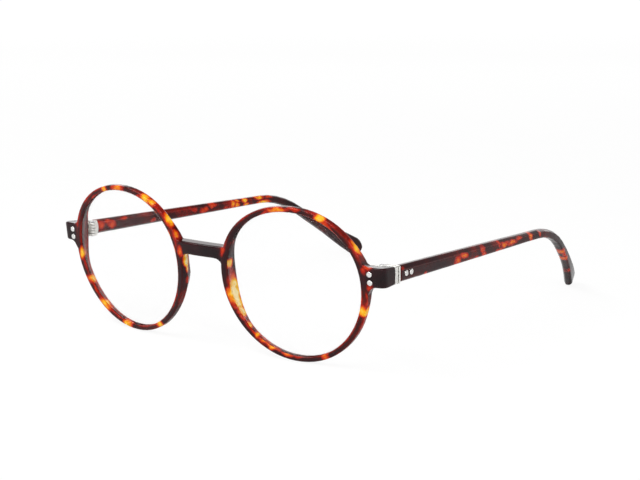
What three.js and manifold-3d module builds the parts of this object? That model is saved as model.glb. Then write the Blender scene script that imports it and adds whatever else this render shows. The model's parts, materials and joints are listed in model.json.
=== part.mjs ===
import * as THREE from 'three';
import { mergeVertices } from 'three/addons/utils/BufferGeometryUtils.js';
import Module from 'manifold-3d';

// Round full-rim spectacle frame in tortoise acetate with riveted five-barrel hinges.
// Millimetres, +Z up, the front faces -Y and the temples run back along +Y.
// Left and right are the wearer's: the left side of the frame lies on +X.

const wasm = await Module();
wasm.setup();

// Rims and lenses
const lensHalfWidth = 23;
const lensHalfHeight = 22.05;
const bridgeWidth = 20;
const rimSideWall = 2.22;
const rimTopWall = 1.6;
const rimDepth = 2.4;
const rimFullness = 2.05;
const pantoShare = 0.061;
const rimSegments = 72;
const wrapAngle = THREE.MathUtils.degToRad(5.6);
const frontEdgeBevel = 0.32;
const rearEdgeBevel = 0.5;
const grooveFromFront = 1.2;
const grooveHalfWidth = 0.7;
const grooveDepth = 0.7;

// Swellings of the rim, each with its place round the rim and its half span
const padAngle = THREE.MathUtils.degToRad(180);
const padSpan = THREE.MathUtils.degToRad(48);
const padInnerDepth = 5.3;
const padOuterDepth = 3.3;
const padFlatWidth = 4.5;
const padFlatHeight = 9;
const padFlatCut = 0.22;
const bridgeAngle = THREE.MathUtils.degToRad(162);
const bridgeSpan = THREE.MathUtils.degToRad(27);
const bridgeSwell = 1.2;
const endpieceAngle = THREE.MathUtils.degToRad(12);
const endpieceSpan = THREE.MathUtils.degToRad(30);
const endpieceSwell = 1.5;

// Lens
const lensThickness = 1.6;
const lensSagitta = 1.5;
const lensGap = 0.3;
const lensRingShares = [0.3, 0.6, 0.82];

// Bridge
const bridgeTop = 9.4;
const bridgeBottom = 5.5;
const bridgeDepth = 3.7;
const bridgeArch = 0.35;
const bridgeFillet = 3.6;
const bridgeTopFillet = 0.9;
const bridgeBevel = 0.4;
const bridgeStationShares = [-1, -0.93, -0.84, -0.72, -0.56, -0.3, 0, 0.3, 0.56, 0.72, 0.84, 0.93, 1];

// Endpiece
const endpieceHeight = 5.9;
const endpieceDepth = 3.9;
const endpieceCornerRadius = 2.1;
const endpieceInnerRadius = 0.4;
const endpieceBevel = 0.35;
const endpieceFillet = 3.2;
const endpieceTopFillet = 1.2;
const cornerSteps = 6;
const endpieceRunShares = [0, 0.2, 0.4, 0.6, 0.8, 1];

// Hinge
const hingeFromLens = 2.4;
const hingeBack = 10.3;
const hingeUp = 4.1;
const frontTilt = THREE.MathUtils.degToRad(7.1);
const templeDrop = THREE.MathUtils.degToRad(7.9);
const templeYaw = THREE.MathUtils.degToRad(2.1);
const leafThickness = 0.7;
const leafInset = 0.5;
const capThickness = 1.2;
const capHeight = 5.3;
const seamGap = 0.3;
const seamBack = 0.5;
const buttPlateThickness = 0.5;
const blockInset = 0.12;
const seatGap = 0.25;
const knuckleRadius = 1.3;
const knuckleCount = 5;
const knuckleStackHeight = 4.3;
const knuckleGap = 0.18;
const knuckleHoleRadius = 0.72;
const swingGap = 0.25;
const templeLeafLength = 3.3;
const templeLeafBulge = 0.7;
const tongueLength = 9;
const tongueHeight = 2.8;
const tongueThickness = 0.7;
const frontLeafWidth = 3.4;
const frontLeafHeight = 5.2;

// Fasteners
const screwRadius = 0.5;
const screwHeadRadius = 1.05;
const screwHeadHeight = 0.4;
const screwSlotWidth = 0.3;
const screwSlotDepth = 0.22;
const screwTipLength = 0.3;
const screwTipShare = 0.7;
const screwHeadSideShare = 0.7;
const screwHeadTopShare = 0.8;
const rivetRadius = 0.5;
const rivetHoleRadius = 0.68;
const rivetHeadRadius = 0.86;
const rivetHeadHeight = 0.34;
const rivetDomeShares = [[0.55, 0.85], [0.9, 0.45]];
const headSeatGap = 0.1;
const frontRivetFromLens = 3.35;
const frontRivetUp = 4.85;
const frontRivetPitch = 2.5;
const templeRivetBack = 4.3;
const templeRivetPitch = 2.7;
const rivetFloorDepth = 0.8;
const roundSides = 16;

// Temple
const templeThickness = 3.65;
const templeRearThickness = 3.4;
const tipThickness = 3.2;
const templeHeight = 4.75;
const templeFullHeight = 4.2;
const templeMiddleHeight = 3.65;
const templeNeckHeight = 2.9;
const tipHeight = 6.6;
const templeStraight = 86;
const hookRadius = 37;
const hookAngle = THREE.MathUtils.degToRad(33);
const hookLength = 33;
const hookCurl = 10.4;
const hookSteps = 5;
const templeStationShares = [0.12, 0.3, 0.45, 0.58, 0.75, 0.93, 1];
const templeFullShare = 0.3;
const templeMiddleShare = 0.58;
const templeNeckShare = 0.93;
const hookStartHeightShare = 0.43;
const hookMiddleHeightShare = 0.54;
const hookMiddleShare = 0.45;
const hookFullShare = 0.85;
const tipStationShares = [0.2, 0.4, 0.55, 0.7, 0.85];
const roundingAngles = [0, 20, 38, 54, 68, 80].map(THREE.MathUtils.degToRad);
const templeTopOuterShare = 0.6;
const templeTopInnerShare = 0.3;
const templeRidgeShare = 0.27;
const templeInnerBevelShare = 0.18;
const templeOuterBevelShare = 0.12;
const coreRadius = 0.5;
const coreHoleRadius = 0.75;
const coreFromTongue = 0.7;
const coreEnd = 80;
const coreSides = 8;

const overrun = 2;
const levelPasses = 4;

// Materials
const acetate = { color: 0x3a1a10, roughness: 0.18, metalness: 0 };
const steel = { color: 0xc9cac8, roughness: 0.25, metalness: 1 };
const clear = { color: 0xf2f6f8, roughness: 0.03, metalness: 0, transparent: true, opacity: 0.25 };

const rimCentre = lensHalfWidth + bridgeWidth / 2;
const hingeOut = rimCentre + lensHalfWidth + hingeFromLens;
const frontRivetOut = lensHalfWidth + frontRivetFromLens;
const rimMiddleShare = (grooveDepth / rimSideWall + 1) / 2;

function toSolid(geometry) {
  const bare = geometry.clone();
  bare.deleteAttribute('normal');
  bare.deleteAttribute('uv');
  const merged = mergeVertices(bare);
  return new wasm.Manifold(new wasm.Mesh({
    numProp: 3,
    vertProperties: merged.attributes.position.array,
    triVerts: new Uint32Array(merged.index.array),
  }));
}

function toGeometry(solid) {
  const mesh = solid.getMesh();
  const geometry = new THREE.BufferGeometry();
  geometry.setAttribute('position', new THREE.BufferAttribute(mesh.vertProperties, 3));
  geometry.setIndex(new THREE.BufferAttribute(mesh.triVerts, 1));
  geometry.computeVertexNormals();
  return geometry;
}

function mirrored(geometry) {
  return facingOut(geometry.clone().scale(-1, 1, 1));
}

// Skins rings of points, in order, into one closed body. Open runs get a fan at both ends.
function loft(rings, closed) {
  const size = rings[0].length;
  const points = rings.flat();
  const index = [];
  const last = closed ? rings.length : rings.length - 1;
  for (let i = 0; i < last; i++) {
    const a = i * size;
    const b = ((i + 1) % rings.length) * size;
    for (let j = 0; j < size; j++) {
      const k = (j + 1) % size;
      index.push(a + j, b + j, b + k, a + j, b + k, a + k);
    }
  }
  if (!closed) {
    const first = points.push(centreOf(rings[0])) - 1;
    const end = points.push(centreOf(rings[rings.length - 1])) - 1;
    const base = (rings.length - 1) * size;
    for (let j = 0; j < size; j++) {
      const k = (j + 1) % size;
      index.push(first, j, k, end, base + k, base + j);
    }
  }
  const geometry = new THREE.BufferGeometry().setFromPoints(points);
  geometry.setIndex(index);
  return facingOut(geometry);
}

// Turns the triangles over where the body they enclose comes out negative.
function facingOut(geometry) {
  const { position } = geometry.attributes;
  const index = geometry.index.array;
  const [a, b, c] = [new THREE.Vector3(), new THREE.Vector3(), new THREE.Vector3()];
  let volume = 0;
  for (let i = 0; i < index.length; i += 3) {
    a.fromBufferAttribute(position, index[i]);
    b.fromBufferAttribute(position, index[i + 1]);
    c.fromBufferAttribute(position, index[i + 2]);
    volume += a.dot(b.cross(c));
  }
  if (volume < 0) {
    for (let i = 0; i < index.length; i += 3) {
      [index[i], index[i + 1]] = [index[i + 1], index[i]];
    }
  }
  geometry.computeVertexNormals();
  return geometry;
}

function centreOf(ring) {
  const sum = new THREE.Vector3();
  ring.forEach((point) => sum.add(point));
  return sum.divideScalar(ring.length);
}

function bump(angle, centre, span) {
  const turn = Math.atan2(Math.sin(angle - centre), Math.cos(angle - centre));
  return Math.abs(turn) < span ? (1 + Math.cos((Math.PI * turn) / span)) / 2 : 0;
}

function signedPower(value, power) {
  return Math.sign(value) * Math.abs(value) ** power;
}

// A point of the lens shape, wider above its middle than below, grown outwards by a wall share.
function rimPoint(angle, wallShare) {
  const halfWidth = lensHalfWidth + rimSideWall * wallShare;
  const halfHeight = lensHalfHeight + rimTopWall * wallShare;
  const across = signedPower(Math.cos(angle), 2 / rimFullness);
  const up = signedPower(Math.sin(angle), 2 / rimFullness);
  return new THREE.Vector2(halfWidth * across * (1 + pantoShare * Math.sin(angle)), halfHeight * up);
}

// Depth of the rim at one angle, swollen at the nose pad, the bridge and the endpiece.
function rimDepthAt(angle, padDepth) {
  const pad = (padDepth - rimDepth) * bump(angle, padAngle, padSpan);
  const swell = endpieceSwell * bump(angle, endpieceAngle, endpieceSpan)
    + bridgeSwell * bump(angle, bridgeAngle, bridgeSpan);
  return rimDepth + Math.max(pad, swell);
}

// The section of the rim at one angle, from its front face round to the groove for the lens.
function rimSection(angle) {
  const inner = rimPoint(angle, 0);
  const outer = rimPoint(angle, 1);
  const wall = inner.distanceTo(outer);
  const outward = outer.clone().sub(inner).divideScalar(wall);
  const innerDepth = rimDepthAt(angle, padInnerDepth);
  const outerDepth = rimDepthAt(angle, padOuterDepth);
  const outline = [
    [frontEdgeBevel, 0],
    [wall - frontEdgeBevel, 0],
    [wall, frontEdgeBevel],
    [wall, outerDepth - rearEdgeBevel],
    [wall - rearEdgeBevel, outerDepth],
    [rearEdgeBevel, innerDepth],
    [0, innerDepth - rearEdgeBevel],
    [0, grooveFromFront + grooveHalfWidth],
    [grooveDepth, grooveFromFront],
    [0, grooveFromFront - grooveHalfWidth],
    [0, frontEdgeBevel],
  ];
  return outline.map(([out, back]) => new THREE.Vector3(
    inner.x + outward.x * out,
    back,
    inner.y + outward.y * out,
  ));
}

function rimGeometry() {
  const rings = [];
  for (let i = 0; i < rimSegments; i++) {
    rings.push(rimSection((2 * Math.PI * (i + 0.5)) / rimSegments));
  }
  return loft(rings, true);
}

// Lens: two domed faces that follow each other, and a pointed edge that sits in the groove.
function lensGeometry() {
  const slope = Math.hypot(grooveDepth, grooveHalfWidth) / grooveHalfWidth;
  const edgeOut = grooveDepth - lensGap * slope;
  const bodyOut = -lensGap;
  const edgeHalf = (edgeOut - bodyOut) * (grooveHalfWidth / grooveDepth);
  const ringAt = (share, out, back) => {
    const ring = [];
    for (let i = 0; i < rimSegments; i++) {
      const angle = (2 * Math.PI * (i + 0.5)) / rimSegments;
      const inner = rimPoint(angle, 0);
      const outward = rimPoint(angle, 1).sub(inner).normalize();
      const edge = inner.addScaledVector(outward, out).multiplyScalar(share);
      ring.push(new THREE.Vector3(edge.x, back - lensSagitta * (1 - share * share), edge.y));
    }
    return ring;
  };
  const front = grooveFromFront - lensThickness / 2;
  const rear = grooveFromFront + lensThickness / 2;
  const rings = [
    ...lensRingShares.map((share) => ringAt(share, bodyOut, front)),
    ringAt(1, bodyOut, front),
    ringAt(1, bodyOut, grooveFromFront - edgeHalf),
    ringAt(1, edgeOut, grooveFromFront),
    ringAt(1, bodyOut, grooveFromFront + edgeHalf),
    ringAt(1, bodyOut, rear),
    ...lensRingShares.map((share) => ringAt(share, bodyOut, rear)).reverse(),
  ];
  return loft(rings, false);
}

// Where other forms end inside the wall of the rim, clear of the groove, at a height.
function rimAngle(up) {
  const halfHeight = lensHalfHeight + rimTopWall * rimMiddleShare;
  const sine = signedPower(up / halfHeight, rimFullness / 2);
  return Math.asin(THREE.MathUtils.clamp(sine, -1, 1));
}

function rimMiddleOut(up) {
  return rimPoint(rimAngle(up), rimMiddleShare).x;
}

// Octagonal section between two depths and two heights, its corners cut by a bevel.
function bevelledSection(front, rear, bottom, top, bevel) {
  return [
    [front, bottom + bevel],
    [front, top - bevel],
    [front + bevel, top],
    [rear - bevel, top],
    [rear, top - bevel],
    [rear, bottom + bevel],
    [rear - bevel, bottom],
    [front + bevel, bottom],
  ];
}

function quarterFillet(distance, radius) {
  const inside = THREE.MathUtils.clamp(distance / radius, 0, 1);
  return radius * (1 - Math.sqrt(1 - (1 - inside) ** 2));
}

function bridgeGeometry() {
  const endFront = -Math.sin(wrapAngle) * rimMiddleOut(bridgeTop);
  const rings = bridgeStationShares.map((share) => {
    const fromEnd = (1 - Math.abs(share)) * (rimCentre - rimMiddleOut(bridgeBottom));
    const bottom = bridgeBottom - quarterFillet(fromEnd, bridgeFillet);
    const top = bridgeTop + quarterFillet(fromEnd, bridgeTopFillet);
    const front = endFront - bridgeArch * (1 - share * share);
    return bevelledSection(0, bridgeDepth, bottom, top, bridgeBevel).map(([back, up]) => {
      const end = rimCentre - rimMiddleOut(up) * Math.cos(wrapAngle);
      const wallDepth = rimDepthAt(Math.PI - rimAngle(up), padOuterDepth);
      const endBack = Math.min(back, wallDepth - frontEdgeBevel);
      const depth = THREE.MathUtils.lerp(back, endBack, share ** 4);
      return new THREE.Vector3(share * end, front + depth, up);
    });
  });
  return loft(rings, false);
}

// Places of the hinge and of one rim inside the front
function hingeMatrix() {
  const turn = new THREE.Matrix4().makeRotationZ(templeYaw)
    .multiply(new THREE.Matrix4().makeRotationX(-templeDrop));
  return new THREE.Matrix4().makeTranslation(hingeOut, hingeBack, hingeUp).multiply(turn);
}

function rimMatrix() {
  return new THREE.Matrix4().makeTranslation(rimCentre, 0, 0)
    .multiply(new THREE.Matrix4().makeRotationZ(wrapAngle));
}

const leafOuterFace = leafInset + leafThickness;
const acetateInnerFace = leafOuterFace + seatGap;
const acetateOuterFace = acetateInnerFace + templeThickness;
const capFar = seamGap / 2 + capThickness;
const tongueMiddle = acetateInnerFace + templeThickness / 2;
const buttPlace = capFar + seatGap;

function atHinge(out, back, up) {
  return new THREE.Vector3(out, back, up).applyMatrix4(hingeMatrix());
}

function atRim(out, back, up) {
  return new THREE.Vector3(out, back, up).applyMatrix4(rimMatrix());
}

// Plan of the endpiece: pairs of outer and inner points from the rim round the corner to the butt.
function endpiecePlan() {
  const frontDirection = atRim(1, 0, 0).sub(atRim(0, 0, 0)).normalize();
  const sideDirection = atHinge(0, 1, 0).sub(atHinge(0, 0, 0)).setZ(0).normalize();
  const frontStart = atRim(rimMiddleOut(frontRivetUp), 0, 0);
  const buttOuter = atHinge(acetateOuterFace, -buttPlace, 0);
  const buttInner = atHinge(acetateInnerFace, -buttPlace, 0);
  const rearStart = atRim(rimMiddleOut(frontRivetUp), endpieceDepth, 0);
  const outerCorner = crossing(frontStart, frontDirection, buttOuter, sideDirection);
  const innerCorner = crossing(rearStart, frontDirection, buttInner, sideDirection);
  const outer = roundedCorner(outerCorner, frontDirection, sideDirection, endpieceCornerRadius);
  const inner = roundedCorner(innerCorner, frontDirection, sideDirection, endpieceInnerRadius);
  return { frontStart, rearStart, outer, inner, buttOuter, buttInner };
}

function crossing(from, direction, to, other) {
  const gap = to.clone().sub(from);
  const scale = (gap.x * other.y - gap.y * other.x) / (direction.x * other.y - direction.y * other.x);
  return from.clone().addScaledVector(direction, scale);
}

function roundedCorner(corner, arriving, leaving, radius) {
  const start = corner.clone().addScaledVector(arriving, -radius);
  const end = corner.clone().addScaledVector(leaving, radius);
  const curve = new THREE.QuadraticBezierCurve3(start, corner, end);
  return curve.getPoints(cornerSteps);
}

function endpieceGeometry() {
  const plan = endpiecePlan();
  const fall = Math.tan(templeDrop);
  const wallLeft = rimSideWall - rimMiddleShare * rimSideWall;
  const run = plan.outer[0].distanceTo(plan.frontStart);
  const ring = (outer, inner, share) => {
    const fromRim = share === null ? run : Math.max(run * share - wallLeft, 0);
    const below = endpieceHeight / 2 + quarterFillet(fromRim, endpieceFillet);
    const above = endpieceHeight / 2 + quarterFillet(fromRim, endpieceTopFillet);
    const across = inner.clone().sub(outer);
    const depth = across.length();
    return bevelledSection(0, depth, -below, above, endpieceBevel).map(([back, up]) => {
      const point = outer.clone().addScaledVector(across, back / depth);
      point.z = hingeUp + (hingeBack - point.y) * fall + up;
      if (share === null) {
        return point;
      }
      const wallDepth = rimDepthAt(rimAngle(point.z), padOuterDepth) - frontEdgeBevel;
      const startBack = Math.min((back * endpieceDepth) / depth, wallDepth);
      const start = atRim(rimMiddleOut(point.z), startBack, point.z);
      return start.lerp(point, share);
    });
  };
  const rings = endpieceRunShares.map((share) => ring(plan.outer[0], plan.inner[0], share));
  for (let i = 1; i <= cornerSteps; i++) {
    rings.push(ring(plan.outer[i], plan.inner[i], null));
  }
  rings.push(buttRing());
  return loft(rings, false);
}

function buttRing() {
  const half = capHeight / 2;
  return bevelledSection(0, templeThickness, -half, half, endpieceBevel).map(([back, up]) => (
    atHinge(acetateOuterFace - back, -buttPlace, up)
  ));
}

function cylinder(radius, from, to, sides) {
  const profile = [
    new THREE.Vector2(0, from),
    new THREE.Vector2(radius, from),
    new THREE.Vector2(radius, to),
    new THREE.Vector2(0, to),
  ];
  return new THREE.LatheGeometry(profile, sides);
}

function box(x0, x1, y0, y1, z0, z1) {
  const geometry = new THREE.BoxGeometry(x1 - x0, y1 - y0, z1 - z0);
  return geometry.translate((x0 + x1) / 2, (y0 + y1) / 2, (z0 + z1) / 2);
}

// A lathe stands along Y. These turn it to lie along the hinge screw or across the temple.
function alongZ(geometry) {
  return geometry.rotateX(Math.PI / 2);
}

function alongX(geometry) {
  return geometry.rotateZ(-Math.PI / 2);
}

function joined(geometries) {
  return geometries.map(toSolid).reduce((sum, next) => sum.add(next));
}

function without(solid, geometries) {
  return geometries.map(toSolid).reduce((rest, next) => rest.subtract(next), solid);
}

function frontRivetHeights() {
  return { upper: frontRivetUp + frontRivetPitch / 2, lower: frontRivetUp - frontRivetPitch / 2 };
}

function frontRivetHoles() {
  return Object.values(frontRivetHeights()).map((up) => (
    cylinder(rivetHoleRadius, -overrun, endpieceDepth + overrun, roundSides)
      .translate(frontRivetOut, 0, up)
  ));
}

// A box whose near face cuts a small flat across the crown of the nose pad.
function padFlatTool() {
  const section = rimSection(padAngle);
  const outerRear = section[4];
  const innerRear = section[5];
  const middle = outerRear.clone().add(innerRear).multiplyScalar(0.5);
  const lean = Math.atan2(innerRear.y - outerRear.y, innerRear.x - outerRear.x);
  const tool = box(-padFlatWidth / 2, padFlatWidth / 2, -padFlatCut, overrun,
    -padFlatHeight / 2, padFlatHeight / 2);
  return tool.rotateZ(lean).translate(middle.x, middle.y, middle.z);
}

function frontFrameGeometry() {
  const rim = toGeometry(without(toSolid(rimGeometry()), [padFlatTool()]));
  const body = joined([rim.applyMatrix4(rimMatrix()), endpieceGeometry()]);
  const holes = frontRivetHoles().map((hole) => hole.applyMatrix4(rimMatrix()));
  const side = toGeometry(without(body, holes));
  return toGeometry(joined([side, mirrored(side), bridgeGeometry()]));
}

// Knuckles share the hinge height evenly, from the bottom up, and alternate between the leaves.
function knuckleBand(number) {
  const height = (knuckleStackHeight - (knuckleCount - 1) * knuckleGap) / knuckleCount;
  const from = -knuckleStackHeight / 2 + number * (height + knuckleGap);
  return [from, from + height];
}

function knuckles(first, radius, grow) {
  const list = [];
  for (let number = first; number < knuckleCount; number += 2) {
    const [from, to] = knuckleBand(number);
    list.push(alongZ(cylinder(radius, from - grow, to + grow, roundSides)));
  }
  return list;
}

function capGeometry(near, far, inset) {
  const half = capHeight / 2 - inset;
  const section = bevelledSection(leafInset, acetateOuterFace - inset, -half, half, endpieceBevel);
  const ringAt = (back) => section.map(([out, up]) => new THREE.Vector3(out, back, up));
  return loft([ringAt(near), ringAt(far)], false);
}

function leafBody(parts, ownFirst, otherFirst) {
  const body = joined([...parts, ...knuckles(ownFirst, knuckleRadius, 0)]);
  const cleared = without(body, knuckles(otherFirst, knuckleRadius + swingGap, knuckleGap));
  const bore = alongZ(cylinder(knuckleHoleRadius, -capHeight, capHeight, roundSides));
  const pocket = screwHeadRadius + swingGap;
  const above = alongZ(cylinder(pocket, knuckleStackHeight / 2, capHeight, roundSides));
  const below = alongZ(cylinder(pocket, -capHeight, -knuckleStackHeight / 2, roundSides));
  return without(cleared, [bore, above, below]);
}

// The leaf on the front: a plate behind the endpiece, a strap along its inner side, a butt plate and
// a block that carries it to the seam.
function frontHingeGeometry() {
  const toHinge = hingeMatrix().invert().multiply(rimMatrix());
  const near = endpieceDepth + seatGap;
  const outer = frontRivetOut + frontLeafWidth / 2 - leafInset - seatGap;
  const plate = box(frontRivetOut - frontLeafWidth / 2, outer, near, near + leafThickness,
    frontRivetUp - frontLeafHeight / 2, frontRivetUp + frontLeafHeight / 2);
  const middle = new THREE.Vector3(frontRivetOut, near + leafThickness / 2, frontRivetUp);
  const strapEnd = middle.applyMatrix4(toHinge).y;
  const strap = box(leafInset, leafOuterFace, strapEnd, -seamGap / 2, -capHeight / 2, capHeight / 2);
  const buttPlate = capGeometry(-capFar, buttPlateThickness - capFar, 0);
  const block = capGeometry(buttPlateThickness / 2 - capFar, seamBack - seamGap / 2, blockInset);
  const body = leafBody([plate.applyMatrix4(toHinge), strap, buttPlate, block], 0, 1);
  return toGeometry(without(body, frontRivetHoles().map((hole) => hole.applyMatrix4(toHinge))));
}

function templeStrapGeometry() {
  const half = (capHeight - endpieceBevel) / 2;
  const near = seamBack + seamGap / 2;
  const shape = new THREE.Shape();
  shape.moveTo(near, -half);
  shape.lineTo(templeLeafLength - templeLeafBulge, -half);
  shape.quadraticCurveTo(templeLeafLength + templeLeafBulge, 0, templeLeafLength - templeLeafBulge, half);
  shape.lineTo(near, half);
  const plate = new THREE.ExtrudeGeometry(shape, {
    depth: leafThickness,
    bevelEnabled: false,
    curveSegments: roundSides / 2,
  });
  const turn = new THREE.Matrix4().makeBasis(
    new THREE.Vector3(0, 1, 0),
    new THREE.Vector3(0, 0, 1),
    new THREE.Vector3(1, 0, 0),
  );
  return plate.applyMatrix4(turn).translate(leafInset, 0, 0);
}

// The tongue of the leaf, or its pocket in the end of the temple where it is grown by a gap.
function tongueGeometry(grow) {
  const half = tongueThickness / 2 + grow;
  return box(tongueMiddle - half, tongueMiddle + half, capFar - capThickness / 2, tongueLength + grow,
    -tongueHeight / 2 - grow, tongueHeight / 2 + grow);
}

function templeRivetPlaces() {
  return { front: templeRivetBack, rear: templeRivetBack + templeRivetPitch };
}

function templeRivetHoles() {
  const floor = acetateInnerFace + rivetFloorDepth;
  return Object.values(templeRivetPlaces()).map((back) => (
    alongX(cylinder(rivetHoleRadius, floor, acetateOuterFace + overrun, roundSides))
      .translate(0, back, 0)
  ));
}

function templeHingeGeometry() {
  const cap = capGeometry(seamBack + seamGap / 2, capFar, 0);
  const body = leafBody([templeStrapGeometry(), tongueGeometry(0), cap], 1, 0);
  return toGeometry(without(body, templeRivetHoles()));
}

// A rivet with a domed head, standing along Y.
function rivetGeometry(grip) {
  const profile = [
    new THREE.Vector2(0, -headSeatGap - rivetHeadHeight),
    ...rivetDomeShares.map(([outShare, upShare]) => (
      new THREE.Vector2(rivetHeadRadius * outShare, -headSeatGap - rivetHeadHeight * upShare)
    )),
    new THREE.Vector2(rivetHeadRadius, -headSeatGap),
    new THREE.Vector2(rivetRadius, -headSeatGap),
    new THREE.Vector2(rivetRadius, grip),
    new THREE.Vector2(0, grip),
  ];
  return new THREE.LatheGeometry(profile, roundSides);
}

function screwGeometry() {
  const top = knuckleStackHeight / 2 + headSeatGap;
  const profile = [
    new THREE.Vector2(0, -knuckleStackHeight / 2 - screwTipLength),
    new THREE.Vector2(screwRadius * screwTipShare, -knuckleStackHeight / 2 - screwTipLength),
    new THREE.Vector2(screwRadius, -knuckleStackHeight / 2),
    new THREE.Vector2(screwRadius, top),
    new THREE.Vector2(screwHeadRadius, top),
    new THREE.Vector2(screwHeadRadius, top + screwHeadHeight * screwHeadSideShare),
    new THREE.Vector2(screwHeadRadius * screwHeadTopShare, top + screwHeadHeight),
    new THREE.Vector2(0, top + screwHeadHeight),
  ];
  const slot = box(-screwHeadRadius - overrun, screwHeadRadius + overrun,
    -screwSlotWidth / 2, screwSlotWidth / 2,
    top + screwHeadHeight - screwSlotDepth, top + screwHeadHeight + overrun);
  return toGeometry(without(toSolid(alongZ(new THREE.LatheGeometry(profile, roundSides))), [slot]));
}

// Side view of the temple: a straight run, an arc down behind the ear and a straight tip.
const hookStart = templeStraight;
const hookEnd = hookStart + hookRadius * hookAngle;
const tipEnd = hookEnd + hookLength;

function templeCentre(along) {
  const straight = Math.min(along, hookStart);
  const turned = THREE.MathUtils.clamp((along - hookStart) / hookRadius, 0, hookAngle);
  const past = Math.max(along - hookEnd, 0);
  return {
    turned,
    back: straight + hookRadius * Math.sin(turned) + past * Math.cos(turned),
    up: -hookRadius * (1 - Math.cos(turned)) - past * Math.sin(turned),
  };
}

function between(knots, along) {
  let i = 1;
  while (i < knots.length - 1 && along > knots[i][0]) {
    i += 1;
  }
  const [from, low] = knots[i - 1];
  const [to, high] = knots[i];
  return low + (high - low) * THREE.MathUtils.clamp((along - from) / (to - from), 0, 1);
}

const templeHeights = [
  [0, templeHeight],
  [hookStart * templeFullShare, templeFullHeight],
  [hookStart * templeMiddleShare, templeMiddleHeight],
  [hookStart * templeNeckShare, templeNeckHeight],
  [hookEnd, tipHeight * hookStartHeightShare],
  [hookEnd + hookLength * hookMiddleShare, tipHeight * hookMiddleHeightShare],
  [hookEnd + hookLength * hookFullShare, tipHeight],
];
const templeThicknesses = [
  [0, templeThickness],
  [hookStart, templeRearThickness],
  [tipEnd, tipThickness],
];

function templeRing(along, roundness) {
  const centre = templeCentre(along);
  const half = (between(templeHeights, along) / 2) * roundness;
  const thickness = between(templeThicknesses, along) * (1 - (1 - roundness) / 2);
  const curl = hookCurl * (Math.max(along - hookStart, 0) / (tipEnd - hookStart)) ** 2;
  const inner = acetateInnerFace - curl + (between(templeThicknesses, along) - thickness) / 2;
  const innerBevel = 2 * half * templeInnerBevelShare;
  const outerBevel = 2 * half * templeOuterBevelShare;
  const outline = [
    [0, -half + innerBevel],
    [0, half - innerBevel],
    [thickness * templeTopInnerShare, half],
    [thickness * templeTopOuterShare, half],
    [thickness, half - 2 * half * templeRidgeShare],
    [thickness, -half + outerBevel],
    [thickness - Math.min(outerBevel, thickness * templeTopInnerShare), -half],
    [thickness * templeTopInnerShare, -half],
  ];
  return outline.map(([out, up]) => new THREE.Vector3(
    inner + out,
    centre.back + up * Math.sin(centre.turned),
    centre.up + up * Math.cos(centre.turned),
  ));
}

function templeGeometry() {
  const rounding = tipHeight / 2;
  const places = [buttPlace, ...templeStationShares.map((share) => hookStart * share)];
  for (let step = 1; step <= hookSteps; step++) {
    places.push(hookStart + (hookEnd - hookStart) * (step / hookSteps));
  }
  places.push(...tipStationShares.map((share) => hookEnd + (hookLength - rounding) * share));
  const rings = places.map((along) => templeRing(along, 1));
  roundingAngles.forEach((angle) => {
    rings.push(templeRing(tipEnd - rounding + rounding * Math.sin(angle), Math.cos(angle)));
  });
  const bore = cylinder(coreHoleRadius, 0, coreEnd + seatGap, coreSides).translate(tongueMiddle, 0, 0);
  const hollows = [bore, tongueGeometry(seatGap), ...templeRivetHoles()];
  return toGeometry(without(toSolid(loft(rings, false)), hollows));
}

function coreGeometry() {
  return cylinder(coreRadius, tongueLength + coreFromTongue, coreEnd, coreSides)
    .translate(tongueMiddle, 0, 0);
}

function piece(name, geometry, material) {
  const mesh = new THREE.Mesh(geometry, new THREE.MeshStandardMaterial(material));
  mesh.name = name;
  return mesh;
}

const sides = { left: 1, right: -1 };

// The wearer's left is built as drawn, and the right is its mirror image.
function sided(geometry, side) {
  return sides[side] > 0 ? geometry : mirrored(geometry);
}

function rimGroup(side) {
  const group = new THREE.Group();
  group.position.x = sides[side] * rimCentre;
  group.rotation.z = sides[side] * wrapAngle;
  group.add(piece(`lens_${side}`, sided(lensGeometry(), side), clear));
  Object.entries(frontRivetHeights()).forEach(([place, up]) => {
    const rivet = rivetGeometry(endpieceDepth + seatGap + leafThickness);
    const mesh = piece(`front_rivet_${place}_${side}`, rivet, steel);
    mesh.position.set(sides[side] * frontRivetOut, 0, up);
    group.add(mesh);
  });
  return group;
}

function hingeGroup(side) {
  const group = new THREE.Group();
  group.position.set(sides[side] * hingeOut, hingeBack, hingeUp);
  group.rotation.order = 'ZXY';
  group.rotation.set(-templeDrop, 0, sides[side] * templeYaw);
  group.add(piece(`front_hinge_${side}`, sided(frontHingeGeometry(), side), steel));
  group.add(piece(`hinge_screw_${side}`, sided(screwGeometry(), side), steel));
  group.add(piece(`temple_hinge_${side}`, sided(templeHingeGeometry(), side), steel));
  group.add(piece(`temple_${side}`, sided(templeGeometry(), side), acetate));
  group.add(piece(`temple_core_${side}`, sided(coreGeometry(), side), steel));
  Object.entries(templeRivetPlaces()).forEach(([place, back]) => {
    const rivet = rivetGeometry(templeThickness - rivetFloorDepth - seatGap).rotateZ(Math.PI / 2);
    const mesh = piece(`temple_rivet_${place}_${side}`, sided(rivet, side), steel);
    mesh.position.set(sides[side] * acetateOuterFace, back, 0);
    group.add(mesh);
  });
  return group;
}

function lowestPoint(mesh) {
  const { position } = mesh.geometry.attributes;
  const point = new THREE.Vector3();
  const lowest = new THREE.Vector3(0, 0, Infinity);
  for (let i = 0; i < position.count; i++) {
    point.fromBufferAttribute(position, i).applyMatrix4(mesh.matrixWorld);
    if (point.z < lowest.z) {
      lowest.copy(point);
    }
  }
  return lowest;
}

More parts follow.
